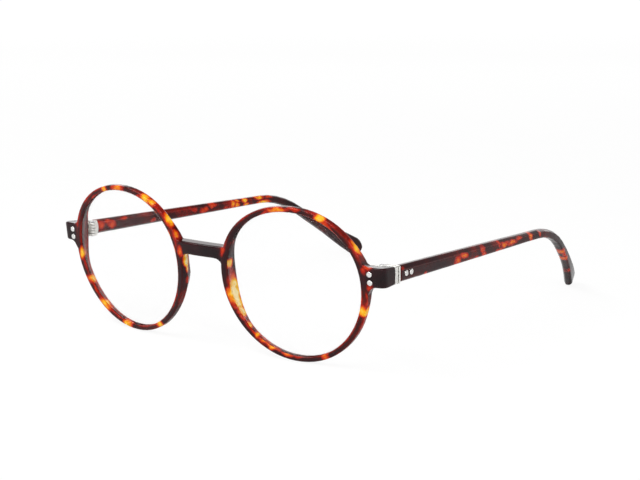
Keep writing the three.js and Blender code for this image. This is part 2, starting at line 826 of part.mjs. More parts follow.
// Turns the frame until its rims and temple tips touch one level, then centres it on that level.
function standOnTable(group) {
  const front = group.getObjectByName('front_frame');
  const temple = group.getObjectByName('temple_left');
  for (let pass = 0; pass < levelPasses; pass++) {
    group.updateMatrixWorld(true);
    const rim = lowestPoint(front);
    const tip = lowestPoint(temple);
    group.rotation.x += Math.atan2(rim.z - tip.z, tip.y - rim.y);
  }
  group.updateMatrixWorld(true);
  const bounds = new THREE.Box3().setFromObject(group, true);
  const centre = bounds.getCenter(new THREE.Vector3());
  group.position.set(-centre.x, -centre.y, -bounds.min.z);
}

const glasses = new THREE.Group();
const front = new THREE.Group();
front.rotation.x = frontTilt;
front.add(piece('front_frame', frontFrameGeometry(), acetate));
Object.keys(sides).forEach((side) => front.add(rimGroup(side), hingeGroup(side)));
glasses.add(front);
standOnTable(glasses);

export default glasses;
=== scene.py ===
import json
import math

import bmesh
import bpy
import numpy as np
from mathutils import Matrix, Vector, noise


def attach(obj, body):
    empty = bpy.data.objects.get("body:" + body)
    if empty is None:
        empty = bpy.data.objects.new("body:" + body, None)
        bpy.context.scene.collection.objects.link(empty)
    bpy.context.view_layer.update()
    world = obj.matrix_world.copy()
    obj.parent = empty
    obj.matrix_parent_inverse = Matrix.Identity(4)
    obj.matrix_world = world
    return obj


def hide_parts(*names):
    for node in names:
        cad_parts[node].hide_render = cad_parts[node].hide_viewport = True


# Round acetate spectacle frame. The CAD solids carry the shape, and this script gives them polished
# edges, the mottled acetate, the metal and the studio. Metres; MM turns millimetres into them.
MM = 0.001
TEMPLE_YAW = math.radians(2.1)
TEMPLE_DROP = math.radians(7.9)
FRONT_TILT = math.radians(7.1)
WRAP = math.radians(5.6)
RIM_CENTRE = 33.0
RIM_MEAN_RADIUS = 24.0
LENS_HALF_WIDTH = 23.0
LENS_HALF_HEIGHT = 22.05
HINGE = Vector((58.4, 10.3, 4.1))
SIDES = {"left": 1, "right": -1}
# Side line of a temple: straight run, bend behind the ear, straight tip
TEMPLE_STRAIGHT = 86.0
HOOK_RADIUS = 37.0
HOOK_ANGLE = math.radians(33)
TEMPLE_LENGTH = 141.0

# View of the photograph, in the frame of the front before it is levelled (millimetres, degrees)
CAM_AZIMUTH = 37.427
CAM_ELEVATION = 11.5
CAM_DISTANCE = 500.268
CAM_TARGET = Vector((20.0, 30.0, 0.0))
CAM_FOCAL_PX = 1614.082
CAM_CENTRE_PX = (319.382, 264.005)
CAM_CLIP_START = 10.0
SENSOR_WIDTH = 36.0
IMAGE_SIZE = (640, 480)

# How each kind of piece is finished: voxel in millimetres, smoothing passes, easing per pass
FRONT_FINISH = (0.17, 4, 0.5)
TEMPLE_FINISH = (0.22, 12, 0.5)
HINGE_FINISH = (0.09, 2, 0.4)
SCREW_FINISH = (0.06, 2, 0.4)
# Corners of the solids that are closer than this, in metres, are one corner
WELD_DISTANCE = 1e-7

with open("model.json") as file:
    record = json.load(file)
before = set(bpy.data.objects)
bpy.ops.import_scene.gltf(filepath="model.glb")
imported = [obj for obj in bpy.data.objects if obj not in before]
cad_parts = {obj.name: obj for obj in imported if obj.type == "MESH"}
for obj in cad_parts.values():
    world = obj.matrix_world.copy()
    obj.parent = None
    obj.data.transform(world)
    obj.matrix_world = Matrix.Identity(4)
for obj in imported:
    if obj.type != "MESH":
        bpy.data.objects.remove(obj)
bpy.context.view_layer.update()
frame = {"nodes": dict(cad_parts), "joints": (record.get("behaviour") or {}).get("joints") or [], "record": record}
nodes = frame["nodes"]
joints = {j["name"]: j for j in frame["joints"]}


# Frames of the front and of the whole, from where the two hinges are
def find_frames():
    left, right = joints["fold_left"], joints["fold_right"]
    _, ay, az = left["axis"]
    local = (math.cos(TEMPLE_YAW) * math.sin(TEMPLE_DROP), math.cos(TEMPLE_DROP))
    turn = math.atan2(az, ay) - math.atan2(local[1], local[0])
    front_turn = Matrix.Rotation(turn, 4, "X")
    middle = (Vector(left["pos_m"]) + Vector(right["pos_m"])) / 2
    hinge = Vector((0, HINGE.y, HINGE.z)) * MM
    front = Matrix.Translation(middle - front_turn.to_3x3() @ hinge) @ front_turn
    whole = front @ Matrix.Rotation(-FRONT_TILT, 4, "X")
    return front, whole


front_frame_matrix, whole_matrix = find_frames()


def hinge_frame_matrix(side):
    sign = SIDES[side]
    place = Matrix.Translation(Vector((sign * HINGE.x, HINGE.y, HINGE.z)) * MM)
    yaw = Matrix.Rotation(sign * TEMPLE_YAW, 4, "Z")
    return front_frame_matrix @ place @ yaw @ Matrix.Rotation(-TEMPLE_DROP, 4, "X")


# Camera
def make_camera():
    az, el = math.radians(CAM_AZIMUTH), math.radians(CAM_ELEVATION)
    back = Vector((math.sin(az) * math.cos(el), -math.cos(az) * math.cos(el), math.sin(el)))
    right = Vector((0, 0, 1)).cross(back).normalized()
    up = back.cross(right)
    place = CAM_TARGET + back * CAM_DISTANCE
    turn = Matrix((right, up, back)).transposed().to_4x4()
    data = bpy.data.cameras.new("camera")
    width, height = IMAGE_SIZE
    data.sensor_width = SENSOR_WIDTH
    data.lens = CAM_FOCAL_PX / width * SENSOR_WIDTH
    data.shift_x = (width / 2 - CAM_CENTRE_PX[0]) / width
    data.shift_y = (CAM_CENTRE_PX[1] - height / 2) / width
    data.clip_start = CAM_CLIP_START * MM
    camera = bpy.data.objects.new("camera", data)
    camera.matrix_world = whole_matrix @ Matrix.Translation(place * MM) @ turn
    bpy.context.scene.collection.objects.link(camera)
    bpy.context.scene.camera = camera


make_camera()


# Node helpers
def new_material(name):
    material = bpy.data.materials.new(name)
    material.use_nodes = True
    tree = material.node_tree
    shader = tree.nodes["Principled BSDF"]
    return material, tree, shader


def add(tree, kind, **values):
    node = tree.nodes.new(kind)
    for key, value in values.items():
        setattr(node, key, value)
    return node


def noise_node(tree, vector, scale, detail=3.0, roughness=0.5):
    node = add(tree, "ShaderNodeTexNoise")
    node.inputs["Scale"].default_value = scale
    node.inputs["Detail"].default_value = detail
    node.inputs["Roughness"].default_value = roughness
    tree.links.new(vector, node.inputs["Vector"])
    return node


def scaled(tree, value, low, high, from_low=0.0, from_high=1.0):
    node = add(tree, "ShaderNodeMapRange")
    node.inputs["From Min"].default_value = from_low
    node.inputs["From Max"].default_value = from_high
    node.inputs["To Min"].default_value = low
    node.inputs["To Max"].default_value = high
    tree.links.new(value, node.inputs["Value"])
    return node.outputs["Result"]


def ramp(tree, value, stops):
    node = add(tree, "ShaderNodeValToRGB")
    elements = node.color_ramp.elements
    while len(elements) < len(stops):
        elements.new(0.5)
    for element, (place, colour) in zip(elements, stops):
        element.position = place
        element.color = (*colour, 1.0)
    tree.links.new(value, node.inputs["Fac"])
    return node.outputs["Color"]


# Distance in millimetres
def add_bump(tree, shader, height, strength, distance):
    bump = add(tree, "ShaderNodeBump")
    bump.inputs["Strength"].default_value = strength
    bump.inputs["Distance"].default_value = distance * MM
    tree.links.new(height, bump.inputs["Height"])
    tree.links.new(bump.outputs["Normal"], shader.inputs["Normal"])


# One when the camera sees a point, straight on or through a lens
def add_seen(tree):
    path = add(tree, "ShaderNodeLightPath")
    seen = add(tree, "ShaderNodeMath", operation="MAXIMUM")
    tree.links.new(path.outputs["Is Camera Ray"], seen.inputs[0])
    tree.links.new(path.outputs["Is Transmission Ray"], seen.inputs[1])
    return path, seen.outputs["Value"]


# Mottled acetate: the attribute holds how light the sheet is at a point, and noise frays its edges
def make_acetate():
    material, tree, shader = new_material("havana_acetate")
    coords = add(tree, "ShaderNodeTexCoord").outputs["Object"]
    tone = add(tree, "ShaderNodeAttribute", attribute_name="havana").outputs["Fac"]
    fray = noise_node(tree, coords, scale=620.0, detail=2.0).outputs["Fac"]
    share = scaled(tree, fray, low=0.88, high=1.12, from_low=0.28, from_high=0.72)
    frayed = add(tree, "ShaderNodeMath", operation="MULTIPLY")
    tree.links.new(tone, frayed.inputs[0])
    tree.links.new(share, frayed.inputs[1])
    colour = ramp(tree, frayed.outputs["Value"], (
        (0.0, (0.008, 0.003, 0.004)),
        (0.18, (0.025, 0.004, 0.006)),
        (0.29, (0.054, 0.003, 0.003)),
        (0.38, (0.17, 0.005, 0.001)),
        (0.47, (0.40, 0.009, 0.001)),
        (0.57, (0.62, 0.040, 0.002)),
        (0.69, (0.86, 0.20, 0.005)),
        (0.84, (1.0, 0.50, 0.012)),
        (0.94, (1.0, 0.62, 0.080)),
        (1.0, (1.0, 0.82, 0.40)),
    ))
    tree.links.new(colour, shader.inputs["Base Color"])
    haze = noise_node(tree, coords, scale=260.0).outputs["Fac"]
    tree.links.new(scaled(tree, haze, low=0.05, high=0.12), shader.inputs["Roughness"])
    polish = noise_node(tree, coords, scale=5200.0, detail=2.0).outputs["Fac"]
    add_bump(tree, shader, polish, strength=0.012, distance=0.02)
    shader.inputs["IOR"].default_value = 1.48
    shader.inputs["Specular IOR Level"].default_value = 0.22
    return material


# Brushed metal: fine lines along one way, with faint handling marks
METAL_STRETCH = (1.0, 0.12, 1.0)
METAL_MARK_SHADE = 0.86


def make_metal(name, colour, rough_low, rough_high, brush):
    material, tree, shader = new_material(name)
    coords = add(tree, "ShaderNodeTexCoord").outputs["Object"]
    stretch = add(tree, "ShaderNodeMapping")
    stretch.inputs["Scale"].default_value = METAL_STRETCH
    tree.links.new(coords, stretch.inputs["Vector"])
    lines = noise_node(tree, stretch.outputs["Vector"], scale=brush).outputs["Fac"]
    marks = noise_node(tree, coords, scale=700.0, detail=4.0, roughness=0.65).outputs["Fac"]
    dark = tuple(c * METAL_MARK_SHADE for c in colour)
    tree.links.new(ramp(tree, marks, ((0.35, dark), (0.6, colour))), shader.inputs["Base Color"])
    tree.links.new(scaled(tree, lines, rough_low, rough_high), shader.inputs["Roughness"])
    add_bump(tree, shader, lines, strength=0.05, distance=0.01)
    shader.inputs["Metallic"].default_value = 1.0
    return material


# Clear thin lens: nearly invisible face on; at glancing angles its pale colour shows, a painted reflection
def make_lens():
    material, tree, shader = new_material("clear_lens")
    coords = add(tree, "ShaderNodeTexCoord").outputs["Object"]
    film = noise_node(tree, coords, scale=60.0, detail=2.0).outputs["Fac"]
    tree.links.new(scaled(tree, film, low=0.01, high=0.03), shader.inputs["Roughness"])
    # The pale colour is that of the painted reflection
    tint = ramp(tree, film, ((0.3, (0.90, 0.95, 0.95)), (0.7, (0.94, 0.96, 0.97))))
    tree.links.new(tint, shader.inputs["Base Color"])
    # Painted reflection: the lens grows less clear towards glancing angles, so its pale colour shows
    painted_reflection_facing = add(tree, "ShaderNodeLayerWeight")
    painted_reflection_facing.inputs["Blend"].default_value = 0.5
    alpha = scaled(tree, painted_reflection_facing.outputs["Facing"], low=0.015, high=0.22, from_low=0.6)
    tree.links.new(alpha, shader.inputs["Alpha"])
    return material


# The lens's bevelled edge sits in the groove, where the acetate shows through it
def make_lens_edge():
    material, tree, shader = new_material("lens_edge")
    coords = add(tree, "ShaderNodeTexCoord").outputs["Object"]
    ground = noise_node(tree, coords, scale=900.0).outputs["Fac"]
    tree.links.new(scaled(tree, ground, low=0.3, high=0.5), shader.inputs["Roughness"])
    tint = ramp(tree, ground, ((0.3, (0.10, 0.04, 0.03)), (0.7, (0.16, 0.07, 0.05))))
    tree.links.new(tint, shader.inputs["Base Color"])
    shader.inputs["Alpha"].default_value = 0.04
    return material


acetate = make_acetate()
plate_metal = make_metal("nickel_plate", colour=(0.92, 0.91, 0.87),
                         rough_low=0.22, rough_high=0.36, brush=2600.0)
rivet_metal = make_metal("nickel_rivet", colour=(0.90, 0.89, 0.87),
                         rough_low=0.10, rough_high=0.22, brush=1800.0)
screw_metal = make_metal("steel_screw", colour=(0.66, 0.66, 0.67),
                         rough_low=0.18, rough_high=0.32, brush=1800.0)
lens_clear = make_lens()
lens_edge = make_lens_edge()


# Meshes
def welded_copy(node, name):
    source = nodes[node].data
    mesh = bpy.data.meshes.new(name)
    work = bmesh.new()
    work.from_mesh(source)
    bmesh.ops.remove_doubles(work, verts=work.verts, dist=WELD_DISTANCE)
    work.to_mesh(mesh)
    work.free()
    mesh.materials.clear()
    return mesh


def link(name, mesh):
    obj = bpy.data.objects.new(name, mesh)
    bpy.context.scene.collection.objects.link(obj)
    return obj


def body_of(node):
    for body, members in frame["record"]["behaviour"]["bodies"].items():
        if node in members:
            return body
    raise ValueError(node)


def dress(obj, node, material):
    obj.data.materials.clear()
    obj.data.materials.append(material)
    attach(obj, body_of(node))
    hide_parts(node)


def shade_smooth(mesh):
    mesh.polygons.foreach_set("use_smooth", [True] * len(mesh.polygons))


# The CAD solid remeshed finely, then eased so that its edges are rounded as polishing rounds them
def polished(node, name, finish):
    voxel, passes, easing = finish
    obj = link(name, welded_copy(node, name))
    remesh = obj.modifiers.new("remesh", "REMESH")
    remesh.mode = "VOXEL"
    remesh.voxel_size = voxel * MM
    remesh.use_smooth_shade = True
    smooth = obj.modifiers.new("ease", "SMOOTH")
    smooth.factor = easing
    smooth.iterations = passes
    bpy.context.view_layer.update()
    graph = bpy.context.evaluated_depsgraph_get()
    mesh = bpy.data.meshes.new_from_object(obj.evaluated_get(graph))
    obj.modifiers.clear()
    old = obj.data
    obj.data = mesh
    bpy.data.meshes.remove(old)
    mesh.name = name
    shade_smooth(mesh)
    return obj


# Tone of the acetate. A patch is (angle round the rim, depth, wall share, reach along, in depth,
# across the wall, tone) in the frame of its rim: the angle in degrees, depth and the first two
# reaches in millimetres, and the wall's from 0 at the lens to 1 at the rim's outer edge.
RIM_PATCHES = {
    "left": (
        (63.5, 0.3, 0.8, 1.8, 2.2, 0.9, 0.92),
        (57, 0.3, 0.4, 2.4, 2.0, 0.7, 0.58),
        (52, 0.2, 0.2, 3.2, 1.0, 0.3, 0.58),
        (44, 0.4, 0.2, 3.0, 1.0, 0.3, 0.52),
        (32.5, 1.6, 1.4, 2.7, 1.6, 0.55, 0.91),
        (18, 0.2, 2.2, 1.5, 1.0, 0.8, 0.58),
        (16.5, 0.0, 1.3, 1.2, 1.0, 0.6, 0.52),
        (5.4, 0.2, 1.7, 1.5, 1.2, 0.6, 0.52),
        (160, 0.2, 1.25, 1.9, 1.0, 0.5, 0.52),
        (169.8, 2.0, 0.15, 1.7, 1.4, 0.5, 0.98),
        (-173, 3.0, -0.1, 2.4, 1.9, 0.7, 1.03),
        (-166, 2.3, -0.1, 5.8, 2.5, 0.9, 1.08),
        (-158, 1.9, -0.08, 2.5, 1.9, 0.6, 0.97),
        (-151, 1.7, -0.05, 2.0, 1.4, 0.5, 0.96),
        (-167, 0.1, 0.35, 2.7, 1.1, 0.5, 0.72),
        (-145.5, 0.6, 0.0, 1.6, 1.0, 0.35, 0.68),
        (-139.5, 1.4, 0.0, 1.3, 0.9, 0.4, 0.88),
        (-129, 0.9, 0.0, 1.4, 0.9, 0.35, 0.86),
        (-119, 0.6, 0.05, 2.0, 0.9, 0.35, 0.88),
        (-112, 0.6, 0.1, 2.6, 0.9, 0.4, 0.88),
        (-99, 0.5, 0.08, 2.6, 0.8, 0.3, 0.68),
        (-90, 0.5, 0.06, 2.2, 0.8, 0.25, 0.60),
        (-66.5, 0.6, 0.4, 1.5, 2.0, 1.2, 0.68),
        (-13.1, 0.8, 0.6, 1.7, 2.2, 1.0, 0.88),
        (-4, 0.2, 0.95, 2.6, 0.8, 0.3, 0.55),
        (98, 0.3, 0.4, 4.2, 1.2, 0.5, 0.76),
        (25, 0.2, 0.0, 6.5, 0.7, 0.25, 0.55),
        (-8, 0.2, 0.0, 6.5, 0.7, 0.25, 0.53),
        (-48, 0.2, 1.0, 5.0, 0.9, 0.25, 0.48),
        (150, 0.2, 0.0, 5.0, 0.7, 0.22, 0.48),
        (109.4, 0.3, 0.25, 2.0, 1.0, 0.4, 0.55),
        (177, 2.4, 0.05, 4.0, 1.5, 0.35, 0.45),
        (159, 1.4, 0.05, 4.5, 1.0, 0.35, 0.46),
        (143, 1.2, 0.05, 5.0, 1.0, 0.35, 0.45),
        (85, 0.3, 0.8, 3.0, 1.0, 0.4, 0.55),
        (78, 3.6, 0.5, 2.8, 1.3, 1.2, 0.84),
        (126, 3.6, 0.4, 2.2, 1.3, 1.0, 0.66),
        (-36, 3.6, 0.5, 3.0, 1.3, 1.2, 0.80),
        (-82, 3.6, 0.6, 2.0, 1.3, 1.0, 0.86),
        (-124, 3.6, 0.7, 2.6, 1.3, 0.8, 0.74),
    ),
    "right": (
        (70.6, 0.5, 0.5, 1.3, 2.2, 1.2, 0.86),
        (86.5, 0.3, 0.4, 3.0, 1.6, 0.9, 0.72),
        (117, 0.4, 0.75, 2.4, 1.8, 0.7, 0.90),
        (123.5, 0.4, 1.0, 1.8, 1.6, 0.6, 0.80),
        (111, 0.3, 0.4, 1.6, 1.4, 0.5, 0.60),
        (133, 0.4, 0.1, 4.0, 1.4, 0.35, 0.94),
        (141.8, 1.2, 1.3, 2.4, 1.6, 0.7, 0.92),
        (152.6, 0.8, 1.4, 1.6, 1.2, 0.6, 0.74),
        (150.8, 0.3, 0.25, 1.6, 1.0, 0.4, 0.88),
        (162, 0.3, 0.2, 1.6, 1.0, 0.35, 0.80),
        (174.5, 2.7, 1.1, 2.3, 1.5, 0.8, 1.08),
        (-179.5, 2.7, 0.95, 1.4, 1.1, 0.5, 0.98),
        (169.5, 2.4, 1.6, 1.8, 1.5, 1.0, 1.04),
        (165.5, 0.3, 1.5, 1.8, 1.2, 0.6, 0.64),
        (-3.5, 0.4, 0.05, 2.0, 1.6, 0.8, 0.90),
        (-27, 1.0, 0.2, 1.9, 1.6, 0.6, 0.90),
        (-24, 0.2, 0.6, 1.2, 1.0, 0.5, 0.60),
        (-52, 0.5, 0.3, 3.0, 1.6, 0.6, 0.92),
        (-80.5, 0.5, 0.5, 2.4, 1.8, 0.9, 0.90),
        (-119.6, 0.5, 0.4, 1.7, 2.0, 1.1, 0.88),
        (-171, 2.7, 0.95, 1.6, 1.2, 0.5, 0.50),
        (55.7, 0.3, 0.2, 3.0, 1.2, 0.4, 0.52),
        (170, 0.2, 0.0, 6.0, 0.7, 0.25, 0.57),
        (-172, 0.2, 0.0, 6.0, 0.7, 0.25, 0.56),
        (-152, 0.2, 0.0, 5.0, 0.7, 0.25, 0.50),
        (20, 0.2, 0.0, 5.0, 0.7, 0.22, 0.48),
        (-38, 0.2, 0.0, 4.0, 0.7, 0.22, 0.50),
        (30, 3.6, 0.5, 3.0, 1.3, 1.2, 0.80),
        (98, 3.6, 0.5, 2.4, 1.3, 1.2, 0.88),
        (-8, 3.6, 0.6, 1.8, 1.3, 1.0, 0.62),
        (-66, 3.6, 0.4, 2.4, 1.3, 1.2, 0.78),
        (-104, 3.6, 0.6, 3.0, 1.3, 1.0, 0.70),
        (-148, 3.6, 0.6, 2.2, 1.3, 0.8, 0.84),
    ),
}
# Patches of a temple: distance along its middle line and height above it in millimetres, share of
# the way out from the inner face, then the reach in each of the three, and the tone
TEMPLE_PATCHES = {
    "left": (
        (3.4, 1.6, 1.0, 1.2, 0.6, 0.6, 0.46),
        (15.2, -2.4, 1.0, 1.1, 0.9, 2.0, 0.68),
        (33.6, -0.9, 1.0, 2.3, 1.7, 2.0, 0.60),
        (37.2, 0.1, 1.0, 2.8, 0.9, 2.0, 0.66),
        (48.7, 0.3, 1.0, 1.8, 1.5, 2.0, 0.58),
        (49.6, -1.3, 1.0, 1.6, 1.0, 2.0, 0.60),
        (44.6, -1.6, 1.0, 1.8, 0.8, 2.0, 0.46),
        (59.3, 0.8, 1.0, 1.0, 1.6, 2.0, 0.54),
        (59.5, -1.5, 1.0, 3.0, 0.8, 2.0, 0.54),
        (62.4, -0.2, 1.0, 2.6, 0.95, 2.0, 0.68),
        (67.2, 0.0, 1.0, 3.8, 1.0, 2.0, 0.67),
        (72.0, 0.8, 1.0, 2.4, 0.7, 2.0, 0.56),
        (80.0, 0.3, 1.0, 1.3, 1.9, 2.0, 0.68),
        (86.3, 0.2, 1.0, 0.8, 1.5, 2.0, 0.58),
        (111.2, -1.4, 0.5, 1.9, 1.4, 1.2, 0.68),
        (116.6, -1.6, 0.5, 1.5, 1.2, 1.2, 0.68),
        (113.9, -1.2, 1.0, 1.3, 0.9, 0.6, 0.62),
        (126.0, -2.4, 0.5, 1.6, 0.8, 1.0, 0.48),
        (9, -0.4, 0.0, 2.6, 1.6, 0.5, 0.58),
        (26, 0.6, 0.0, 3.0, 1.2, 0.5, 0.70),
        (44, -0.6, 0.0, 2.2, 1.0, 0.5, 0.56),
        (60, -0.2, 0.0, 3.0, 1.2, 0.5, 0.74),
        (92, 0.0, 0.0, 3.0, 1.2, 0.5, 0.68),
        (126, 0.8, 0.0, 2.4, 1.4, 0.5, 0.58),
    ),
    "right": (
        (5.2, 0.5, 0.0, 2.6, 1.6, 2.0, 0.57),
        (8.4, 1.2, 0.0, 2.0, 0.8, 2.0, 0.56),
        (10.4, 0.2, 0.0, 2.4, 1.5, 2.0, 0.58),
        (15.9, 1.5, 0.0, 2.2, 0.7, 2.0, 0.48),
        (29.5, -0.9, 0.0, 1.6, 0.9, 2.0, 0.52),
        (50.0, 0.4, 0.0, 2.0, 1.2, 2.0, 0.50),
        (54.7, -0.3, 0.0, 2.6, 1.2, 2.0, 0.61),
        (59.1, 1.0, 0.0, 2.4, 1.0, 2.0, 0.60),
        (66.5, -0.6, 0.0, 1.6, 0.8, 2.0, 0.50),
        (69.8, 0.1, 0.0, 1.6, 1.9, 2.0, 0.73),
        (72.4, -0.5, 0.0, 1.5, 1.2, 2.0, 0.74),
        (72.4, 1.0, 0.0, 1.4, 0.7, 2.0, 0.72),
        (76.4, 0.9, 0.0, 1.8, 0.9, 2.0, 0.84),
        (77.0, -0.7, 0.0, 1.5, 0.8, 2.0, 0.76),
        (84.3, 1.1, 0.0, 2.8, 0.8, 2.0, 0.82),
        (86.6, -0.9, 0.0, 3.4, 1.0, 2.0, 0.90),
        (89.4, 1.0, 0.0, 2.2, 0.7, 2.0, 0.58),
        (125.0, 0.8, 0.0, 3.4, 1.0, 2.0, 0.62),
        (12, -0.8, 1.0, 2.4, 1.2, 0.5, 0.58),
        (30, 0.0, 1.0, 3.0, 1.4, 0.5, 0.72),
        (48, 0.6, 1.0, 1.8, 0.9, 0.5, 0.56),
        (98, 0.3, 1.0, 2.8, 1.2, 0.5, 0.60),
        (114, -0.4, 1.0, 1.6, 1.6, 0.5, 0.66),
    ),
}


# A patch fades with the distance from its centre as exp(-PATCH_FADE * far ** PATCH_FADE_POWER)
PATCH_FADE = 0.62
PATCH_FADE_POWER = 1.25
# Reach and size of the wander in millimetres, and which part of the noise each piece takes
FRONT_WANDER = {"reach": 0.75, "size": 2.4, "part": 1}
TEMPLE_WANDER = {
    "left": {"reach": 0.6, "size": 2.2, "part": 2},
    "right": {"reach": 0.6, "size": 2.2, "part": 3},
}
WANDER_STEP = (7.3, 3.1, 5.7)
# Clouds of the ground between the patches
CLOUD_SIZE = 8.0
CLOUD_SWING = 0.17
CLOUD_TOP = 0.46
# Levels of that ground on the front: plain rim, less where the sheet is thick, more at the edges
FRONT_LEVEL = 0.21
THICK_LESS = 0.11
EDGES_MORE = 0.16
# The sheet is thick in the bridge and from the endpiece outwards, each with a blend this wide
BRIDGE_HALF = 9.5
ENDPIECE_START = 56.5
THICK_BLEND = 2.5
# A rim's patches start at this distance from the middle
PATCH_START = 6.5
# Width of a rim's wall as a share of the lens's half size
RIM_WALL = 0.085
# Levels of the ground on the temples, which darken behind the bend
TEMPLE_LEVEL = {"left": 0.24, "right": 0.28}
HOOK_LESS = 0.12
HOOK_DARK_START = 90
HOOK_DARK_BLEND = 8
TEMPLE_CLOUD_SHIFT = 40
# How far the hook curls inwards, where the temple's inner face lies and how thick the temple is
HOOK_CURL = 10.4
TEMPLE_INNER = 1.45
TEMPLE_THICKNESS = 3.6
# Painted highlight at the rounded edges: the bulge in millimetres that is fully highlighted, the tone that
# the painted highlight adds, and the tone of the acetate below which it is added
FULL_BULGE = 0.035
BULGE_PASSES = 3
EDGE_HIGHLIGHT_TONE = 0.19
HIGHLIGHT_BELOW = 0.5
TONE_TOP = 1.2
# Without a seed Blender picks the noise vectors anew in each run
WANDER_SEED = 2
noise.seed_set(WANDER_SEED)


def vectors_of(mesh, what):
    values = np.empty(len(mesh.vertices) * 3, np.float32)
    mesh.vertices.foreach_get(what, values)
    return values.reshape(-1, 3).astype(float)


def local_points(mesh, matrix):
    inverse = np.array(matrix.inverted())
    return (vectors_of(mesh, "co") @ inverse[:3, :3].T + inverse[:3, 3]) / MM


def wander(points, reach, size, part):
    shift = Vector([part * step for step in WANDER_STEP])
    moved = np.empty_like(points)
    for i, p in enumerate(points):
        moved[i] = noise.noise_vector(Vector(p) / size + shift)
    return points + moved * reach


def tone_from(patches, axes):
    tone = np.zeros(len(axes[0]))
    for patch in patches:
        centre, reach, strength = patch[:3], patch[3:6], patch[6]
        far = sum(((axis - c) / r) ** 2 for axis, c, r in zip(axes, centre, reach))
        tone = np.maximum(tone, strength * np.exp(-PATCH_FADE * far ** PATCH_FADE_POWER))
    return tone


def background_tone(points, level):
    tone = np.empty(len(points))
    for i, p in enumerate(points):
        tone[i] = noise.fractal(Vector(p) / CLOUD_SIZE, 1.0, 2.0, 2)
    return np.clip(level + CLOUD_SWING * tone, 0, CLOUD_TOP)


# Painted highlight for the rounded edges of the sheet: how strongly a point bulges from its neighbours
def painted_edge_highlight(mesh):
    count = len(mesh.vertices)
    points = vectors_of(mesh, "co") / MM
    normals = vectors_of(mesh, "normal")
    ends = np.empty(len(mesh.edges) * 2, np.int32)
    mesh.edges.foreach_get("vertices", ends)
    ends = ends.reshape(-1, 2)
    total = np.zeros((count, 3))
    degree = np.zeros(count)
    for a, b in ((0, 1), (1, 0)):
        np.add.at(total, ends[:, a], points[ends[:, b]])
        np.add.at(degree, ends[:, a], 1)
    bulge = -((total / degree[:, None] - points) * normals).sum(1)
    for _ in range(BULGE_PASSES):
        shared = np.zeros(count)
        np.add.at(shared, ends[:, 0], bulge[ends[:, 1]])
        np.add.at(shared, ends[:, 1], bulge[ends[:, 0]])
        bulge = (bulge + shared / degree) / 2
    return np.clip(bulge / FULL_BULGE, 0, 1)


def set_tone(mesh, tone):
    # Painted highlight: the tone is lightened where the edges bulge and the acetate is dark
    tone = tone + EDGE_HIGHLIGHT_TONE * painted_edge_highlight(mesh) * (tone < HIGHLIGHT_BELOW)
    attribute = mesh.attributes.new("havana", "FLOAT", "POINT")
    attribute.data.foreach_set("value", np.clip(tone, 0, TONE_TOP).astype(np.float32))


# Across and into the depth of a rim, from the distance out from its centre and back
def in_rim(out, back):
    across = out * math.cos(WRAP) + back * math.sin(WRAP)
    depth = -out * math.sin(WRAP) + back * math.cos(WRAP)
    return across, depth


def wall_share(across, up):
    return (np.hypot(across / LENS_HALF_WIDTH, up / LENS_HALF_HEIGHT) - 1) / RIM_WALL


def tone_front(obj):
    points = local_points(obj.data, front_frame_matrix)
    moved = wander(points, **FRONT_WANDER)
    apart = np.abs(points[:, 0])
    thick = np.clip((BRIDGE_HALF - apart) / THICK_BLEND, 0, 1)
    thick += np.clip((apart - ENDPIECE_START) / THICK_BLEND, 0, 1)
    across, _ = in_rim(apart - RIM_CENTRE, points[:, 1])
    wall = wall_share(across, points[:, 2])
    edges = np.clip(np.abs(2 * wall - 1), 0, 1) ** 2 * np.clip(1 - thick, 0, 1)
    tone = background_tone(points, FRONT_LEVEL - THICK_LESS * thick + EDGES_MORE * edges)
    for side, sign in SIDES.items():
        across, depth = in_rim(moved[:, 0] * sign - RIM_CENTRE, moved[:, 1])
        up = moved[:, 2]
        angle = np.arctan2(up / LENS_HALF_HEIGHT, across / LENS_HALF_WIDTH)
        share = wall_share(across, up)
        mine = points[:, 0] * sign > PATCH_START
        for patch_angle, *rest in RIM_PATCHES[side]:
            turn = angle - math.radians(patch_angle)
            turn = np.arctan2(np.sin(turn), np.cos(turn)) * RIM_MEAN_RADIUS
            one = tone_from(((0.0, *rest),), (turn, depth, share))
            tone = np.where(mine, np.maximum(tone, one), tone)
    set_tone(obj.data, tone)


# The middle line is sampled at this step, a little past both ends, and points are taken in parts
LINE_STEP = 0.5
LINE_PAST = 4.0
POINTS_AT_ONCE = 4000


# Distance along the temple's middle line and height above it
def unbent(back, up):
    reach = np.arange(-LINE_PAST, TEMPLE_LENGTH + LINE_PAST, LINE_STEP)
    turned = np.clip((reach - TEMPLE_STRAIGHT) / HOOK_RADIUS, 0, HOOK_ANGLE)
    past = np.maximum(reach - TEMPLE_STRAIGHT - HOOK_RADIUS * HOOK_ANGLE, 0)
    line_back = np.minimum(reach, TEMPLE_STRAIGHT) + HOOK_RADIUS * np.sin(turned)
    line_back += past * np.cos(turned)
    line_up = -HOOK_RADIUS * (1 - np.cos(turned)) - past * np.sin(turned)
    along = np.empty(len(back))
    height = np.empty(len(back))
    for start in range(0, len(back), POINTS_AT_ONCE):
        part = slice(start, start + POINTS_AT_ONCE)
        far = (back[part, None] - line_back) ** 2 + (up[part, None] - line_up) ** 2
        near = far.argmin(1)
        ahead, above = back[part] - line_back[near], up[part] - line_up[near]
        cos, sin = np.cos(turned[near]), np.sin(turned[near])
        along[part] = reach[near] + ahead * cos - above * sin
        height[part] = ahead * sin + above * cos
    return along, height


